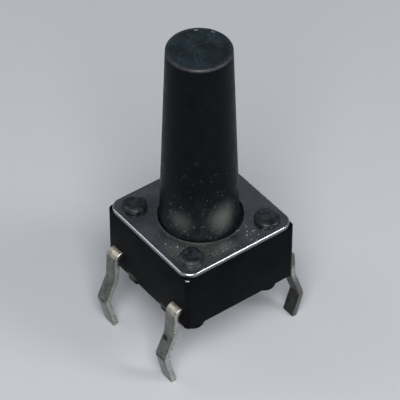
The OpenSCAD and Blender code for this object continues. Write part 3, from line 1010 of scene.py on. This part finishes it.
def sweep_tree():
    """Sweeps a strip with soft edges along a path that lies in an upright plane."""
    sizes = {"Width": "Float", "Thickness": "Float", "Edge radius": "Float"}
    tree, given = new_geometry_tree("bent_strip", sizes)
    line = add(tree, "GeometryNodeMeshToCurve", inputs={"Mesh": given["Geometry"]}).outputs["Curve"]
    across = {"Curve": line, "Normal": (0, 1, 0)}
    steady = add(tree, "GeometryNodeSetCurveNormal", {"mode": "FREE"}, across).outputs["Curve"]
    taper = add(tree, "GeometryNodeInputNamedAttribute", {"data_type": "FLOAT"}, {"Name": "taper"}).outputs[0]
    narrowing = {"Curve": steady, "Radius": taper}
    tapered = add(tree, "GeometryNodeSetCurveRadius", inputs=narrowing).outputs["Curve"]
    section = add(
        tree, "GeometryNodeCurvePrimitiveQuadrilateral",
        inputs={"Width": given["Width"], "Height": given["Thickness"]},
    ).outputs["Curve"]
    soft = add(
        tree, "GeometryNodeFilletCurve", {"mode": "POLY"},
        {"Curve": section, "Count": 3, "Radius": given["Edge radius"], "Limit Radius": True},
    ).outputs["Curve"]
    sweep = {"Curve": tapered, "Profile Curve": soft, "Fill Caps": True}
    strip = add(tree, "GeometryNodeCurveToMesh", inputs=sweep).outputs["Mesh"]
    solid = add(tree, "GeometryNodeRealizeInstances", inputs={"Geometry": strip}).outputs[0]
    return end_tree(tree, solid, given["Material"])


def bend(before, corner, after, radius, steps):
    """Points of a bend of this radius at a corner of a path in the XZ plane."""
    u, v = (before - corner).normalized(), (after - corner).normalized()
    half = u.angle(v) / 2
    middle = corner + (u + v).normalized() * radius / math.sin(half)
    reach = radius / math.tan(half)
    start, stop = corner + u * reach - middle, corner + v * reach - middle
    turn = math.copysign(math.pi - 2 * half, start.x * stop.y - start.y * stop.x)
    return [middle + Matrix.Rotation(turn * i / steps, 2) @ start for i in range(steps + 1)]


STRIP_START = 1.0  # where a lead's path begins, inside the base
LEAD_TURN = 3.25  # where it turns down, from the middle
KINK = (0.1, -0.3)  # how much further out, and height
KNEE_OUT = 0.6
TIP_OUT = 0.12
TIP_AIM = 0.28  # the last leg points at a place this far under the tip
TIP_STOP = 0.042  # its path stops this far over the lowest corner of the slanted tip
KNEE_DROP = {-1: 1.42, 1: 1.8}
BEND_RADII = (0.3, 0.7, 0.28)
BEND_STEPS = 8
TIP_PARTS = (0.3, 0.55, 0.75, 0.88, 0.96, 1.0)  # places along the last straight stretch
TIP_TAPER = (0.97, 0.9, 0.8, 0.71, 0.62, 0.48)  # share of the full section at each


def lead_path(side, strip_z, tip_z):
    """Path of one lead, from inside the base to its tip, as (x, z) points."""
    knee = Vector((LEAD_TURN + KNEE_OUT, -KNEE_DROP[side]))
    slope = Vector((LEAD_TURN + TIP_OUT, tip_z - TIP_AIM)) - knee
    corners = [
        Vector((STRIP_START, strip_z)),
        Vector((LEAD_TURN, strip_z)),
        Vector((LEAD_TURN + KINK[0], KINK[1])),
        knee,
        knee + slope / slope.y * (tip_z + TIP_STOP - knee.y),
    ]
    points = [corners[0]]
    for i, radius in enumerate(BEND_RADII):
        points += bend(corners[i], corners[i + 1], corners[i + 2], radius, BEND_STEPS)
    start = points[-1]
    points += [start.lerp(corners[4], part) for part in TIP_PARTS]
    return [Vector((side * p.x, p.y)) for p in points]


def strip_object(path, y):
    """The path as a chain of edges, tapered at both tips, marked at its knees and where it is bent down."""
    bm = bmesh.new()
    taper, crease, burnish = (bm.verts.layers.float.new(name) for name in ("taper", "crease", "burnish"))
    shares = TIP_TAPER[::-1]
    knee = len(shares) + BEND_STEPS // 2
    verts = []
    for i, point in enumerate(path):
        vert = bm.verts.new((point.x, y, point.y))
        from_end = min(i, len(path) - 1 - i)
        vert[taper] = shares[from_end] if from_end < len(shares) else 1.0
        vert[crease] = 1.0 if abs(from_end - knee) <= 1 else 0.0
        vert[burnish] = 1.0 if from_end > knee + 1.5 * BEND_STEPS + 3 else 0.0
        verts.append(vert)
    for a, b in zip(verts, verts[1:]):
        bm.edges.new((a, b))
    return temporary("strip_path", bm)


class SWITCH_OT_terminals(bpy.types.Operator):
    """Builds the two stamped terminals with their four leads"""

    bl_idname = "switch.terminals"
    bl_label = "Terminals"

    def execute(self, context):
        sizes = context.scene.switch_leads
        tin = tin_plated_strip(sizes.colour)
        materials = [tin, sheared_strip_edge(sizes.edge_colour), painted_shade_strip_back()]
        top = CONTACT_Z - CONTACT_RISE
        low = top - sizes.thickness
        values = {
            "Width": sizes.width,
            "Thickness": sizes.thickness,
            "Edge radius": sizes.soft,
            "Material": tin,
        }
        for node, y in {"centre_terminal": ROW_Y, "common_terminal": -ROW_Y}.items():
            left, right = (lead_path(side, top - sizes.thickness / 2, TIP_Z) for side in (-1, 1))
            source = strip_object(left[::-1] + right, y)
            mesh = run_tree(source, sweep_tree(), values, node + "_strip")
            bm = bmesh.new()
            bm.from_mesh(mesh)
            bpy.data.meshes.remove(mesh)
            bm.normal_update()
            for face in bm.faces:
                middle = face.calc_center_median()
                inward = -math.copysign(face.normal.x, face.normal.x * middle.x)
                hidden = inward > 0.5 and middle.z < 0.4
                # inner faces of the leads under the base take the painted shade material
                face.material_index = 1 if abs(face.normal.y) > 0.8 else 2 if hidden else 0
            if node == "centre_terminal":
                soft_block(bm, (-CENTRE_ARM_HALF, -CENTRE_ARM_HALF, low), (CENTRE_ARM_HALF, y, top), 0.03)
                self.add_contact(bm, CENTRE_CONTACT, low, top, 0.0, 0.0, 40)
            else:
                for x in (-RIM_ARM_X, RIM_ARM_X):
                    soft_block(bm, (x - RIM_ARM_HALF, y, low), (x + RIM_ARM_HALF, RIM_ARM_END, top), 0.03)
                    for contact_y in (-RIM_CONTACT_Y, RIM_CONTACT_Y):
                        self.add_contact(bm, RIM_CONTACT, low, top, x, contact_y, 32)
            finish_mesh("stamped_" + node, bm, materials, "housing", node, 40)
        return {"FINISHED"}

    def add_contact(self, bm, radii, low, top, x, y, steps):
        """A round contact point on the strip, narrower at its top."""
        foot = low + CONTACT_SINK
        profile = [(0, foot), (radii[0], foot), (radii[0], top), (radii[1], CONTACT_Z), (0, CONTACT_Z)]
        lathe(bm, profile, steps, x, y)


class SWITCH_OT_dome(bpy.types.Operator):
    """Builds the snap dome"""

    bl_idname = "switch.dome"
    bl_label = "Snap dome"

    def execute(self, context):
        radius = DOME_HIGH.x
        rise = DOME_HIGH.z - DOME_LOW.z - DOME_THICKNESS
        ball = (radius * radius + rise * rise) / (2 * rise)
        steps = 16
        under = []
        for i in range(steps + 1):
            r = radius * i / steps
            under.append((r, DOME_LOW.z + math.sqrt(ball * ball - r * r) - (ball - rise)))
        over = [(r, z + DOME_THICKNESS) for r, z in reversed(under)]
        bm = bmesh.new()
        lathe(bm, under + over, 64)
        steel = sprung_steel_dome()
        piece = finish_mesh("sprung_dome", bm, [steel], "housing", "snap_dome", 60)
        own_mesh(piece)
        return {"FINISHED"}


# ---------------------------------------------------------------------------
# Studio
# ---------------------------------------------------------------------------

CAMERA = {"azimuth": -36.862, "elevation": 42.826, "distance": 127.11, "lens": 255.74, "sensor": 36}
AIM = (0.033, -0.583)  # how far the aim is off the middle of the cover, along the view's right and up, in mm
FLOOR_HALF = 600
LIGHT_DISTANCE = 160
LIGHT_AIM_Z = 4
SKY = {"Color": "#8f949a", "Strength": 0.45}


def view_axes(azimuth, elevation):
    """Right, up and back directions of a view; azimuth 0 looks along +Y."""
    a, e = math.radians(azimuth), math.radians(elevation)
    back = Vector((math.sin(a) * math.cos(e), -math.cos(a) * math.cos(e), math.sin(e)))
    right = Vector((math.cos(a), math.sin(a), 0))
    return right, back.cross(right), back


def soft_light(name, azimuth, elevation, size, watts):
    """A square white light of this size in millimetres, which faces the switch."""
    data = bpy.data.lights.new(name, "AREA")
    data.shape = "SQUARE"
    data.size = size * MM
    data.energy = watts
    light = bpy.data.objects.new(name, data)
    right, up, back = view_axes(azimuth, elevation)
    turn = Matrix((right, up, back)).transposed().to_4x4()
    light.matrix_world = Matrix.Translation((back * LIGHT_DISTANCE + Vector((0, 0, LIGHT_AIM_Z))) * MM) @ turn
    bpy.context.scene.collection.objects.link(light)


class SWITCH_OT_stage(bpy.types.Operator):
    """Builds the pale floor, the soft lights and the camera"""

    bl_idname = "switch.stage"
    bl_label = "Studio"

    def execute(self, context):
        sizes = context.scene.switch_stage
        floor = bmesh.new()
        bmesh.ops.create_grid(floor, x_segments=1, y_segments=1, size=FLOOR_HALF)
        bmesh.ops.translate(floor, verts=floor.verts, vec=(0, 0, TIP_Z))
        mesh = bpy.data.meshes.new("floor")
        floor.to_mesh(mesh)
        floor.free()
        mesh.transform(Matrix.Scale(MM, 4))
        mesh.materials.append(matt_paper_floor(sizes.floor_colour))
        ground = bpy.data.objects.new("floor", mesh)
        context.scene.collection.objects.link(ground)
        soft_light("key_light", -37, 50, 90, sizes.key)
        soft_light("right_light", 33, 36, 50, sizes.rim)
        soft_light("left_light", -138, 38, 70, 0.4 * sizes.rim)
        world = bpy.data.worlds.new("studio")
        context.scene.world = world
        world.use_nodes = True
        fill(world.node_tree, world.node_tree.nodes["Background"], SKY)
        context.scene.view_settings.view_transform = "Standard"
        self.add_camera(context)
        return {"FINISHED"}

    def add_camera(self, context):
        """The camera looks down on a corner of the switch, a little off the middle of its cover."""
        data = bpy.data.cameras.new("camera")
        data.lens = CAMERA["lens"]
        data.sensor_width = CAMERA["sensor"]
        data.clip_start = 0.005
        data.clip_end = 5
        camera = bpy.data.objects.new("camera", data)
        right, up, back = view_axes(CAMERA["azimuth"], CAMERA["elevation"])
        place_at = Vector((0, 0, COVER_HIGH.z)) + back * CAMERA["distance"] - right * AIM[0] - up * AIM[1]
        turn = Matrix((right, up, back)).transposed().to_4x4()
        camera.matrix_world = Matrix.Translation(place_at * MM) @ turn
        context.scene.collection.objects.link(camera)
        context.scene.camera = camera


# ---------------------------------------------------------------------------
# Panel and registration
# ---------------------------------------------------------------------------

OPERATORS = (
    SWITCH_OT_base,
    SWITCH_OT_heads,
    SWITCH_OT_cover,
    SWITCH_OT_button,
    SWITCH_OT_terminals,
    SWITCH_OT_dome,
    SWITCH_OT_stage,
)
GROUPS = {
    "switch_base": SwitchBase,
    "switch_heads": SwitchHeads,
    "switch_cover": SwitchCover,
    "switch_button": SwitchButton,
    "switch_leads": SwitchLeads,
    "switch_stage": SwitchStage,
}


class SWITCH_PT_panel(bpy.types.Panel):
    """Lists the pieces and their sizes"""

    bl_idname = "SWITCH_PT_panel"
    bl_label = "Tactile switch"
    bl_space_type = "VIEW_3D"
    bl_region_type = "UI"
    bl_category = "Switch"

    def draw(self, context):
        for operator in OPERATORS:
            self.layout.operator(operator.bl_idname)
        for name, group in GROUPS.items():
            column = self.layout.column(align=True)
            for key in group.__annotations__:
                column.prop(getattr(context.scene, name), key)


def register():
    """Registers the property groups, the operators and the panel."""
    for name, group in GROUPS.items():
        bpy.utils.register_class(group)
        setattr(bpy.types.Scene, name, PointerProperty(type=group))
    for cls in OPERATORS + (SWITCH_PT_panel,):
        bpy.utils.register_class(cls)


def unregister():
    """Takes back what register() added."""
    for cls in reversed(OPERATORS + (SWITCH_PT_panel,)):
        bpy.utils.unregister_class(cls)
    for name, group in reversed(list(GROUPS.items())):
        delattr(bpy.types.Scene, name)
        bpy.utils.unregister_class(group)


def main():
    """Builds every piece and the studio."""
    register()
    for operator in OPERATORS:
        group, name = operator.bl_idname.split(".")
        getattr(getattr(bpy.ops, group), name)()


if __name__ == "__main__":
    main()
